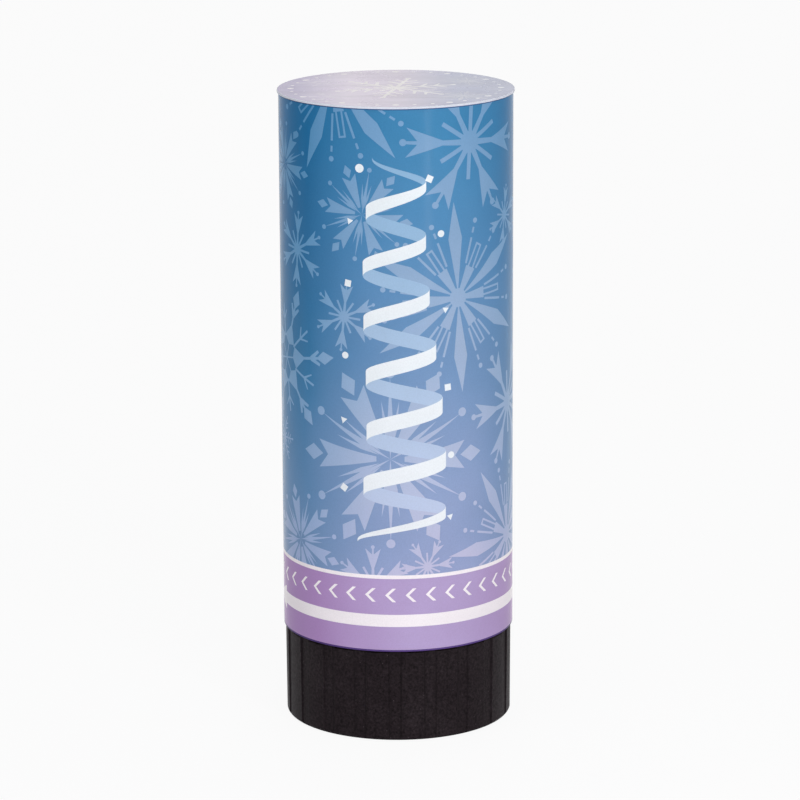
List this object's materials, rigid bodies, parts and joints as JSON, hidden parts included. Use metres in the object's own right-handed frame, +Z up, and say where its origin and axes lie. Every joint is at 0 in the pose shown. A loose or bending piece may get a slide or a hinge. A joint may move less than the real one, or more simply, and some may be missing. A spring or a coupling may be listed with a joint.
{
  "type": "confetti popper",
  "caption": "Short spring-fired confetti popper: cardboard barrel in a printed wrap, paper lid over the muzzle, and a grooved twist base that frees a latched spring plunger.",
  "frame": {"origin": "middle of the face it stands on, on the popper's axis", "axes": "+Z up along the barrel towards the muzzle; -Y is the front that the picture shows, +X to its right"},
  "size_m": [0.0404, 0.0404, 0.11],
  "materials": {
    "grey_board": "grey recycled board with fine fibre specks",
    "label_print": "glossy laminated print, blue at the top fading to periwinkle and lilac",
    "lid_print": "glossy laminated print, pale lavender, with a white cut edge",
    "black_plastic": "satin black moulded polypropylene with fine grain",
    "inner_plastic": "natural moulded polypropylene",
    "latch_plastic": "natural acetal",
    "spring_steel": "drawn spring wire, lightly oiled",
    "tissue_white": "matt tissue",
    "tissue_sky": "matt tissue",
    "tissue_blue": "matt tissue",
    "tissue_lilac": "matt tissue",
    "tissue_purple": "matt tissue"
  },
  "bodies": {
    "barrel": {"body_tube": "grey_board", "printed_label": "label_print", "tube_insert": "inner_plastic", "mainspring": "spring_steel"},
    "base": {"twist_base": "black_plastic"},
    "charge": {"plunger": "inner_plastic", "latch_fork": "latch_plastic", "card_wad": "grey_board", "confetti_white": "tissue_white", "confetti_sky": "tissue_sky", "confetti_blue": "tissue_blue", "confetti_lilac": "tissue_lilac", "confetti_purple": "tissue_purple"},
    "lid": {"lid_label": "lid_print", "lid_card": "grey_board"}
  },
  "joints": [
    {"name": "base_twist", "type": "hinge", "parent": "barrel", "child": "base", "pos_m": [0, 0, 0], "axis": [0, 0, -1], "range_deg": [0, 90], "deforming": ["latch_fork"]},
    {"name": "plunger_slide", "type": "slide", "parent": "barrel", "child": "charge", "axis": [0, 0, 1], "range_m": [0, 0.059], "deforming": ["mainspring", "latch_fork"]},
    {"name": "lid_lift", "type": "slide", "parent": "barrel", "child": "lid", "axis": [0, 0, 1], "range_m": [0, 0.059]}
  ],
  "couplings": [
    {"joint": "lid_lift", "follows": "plunger_slide", "ratio": 1}
  ]
}
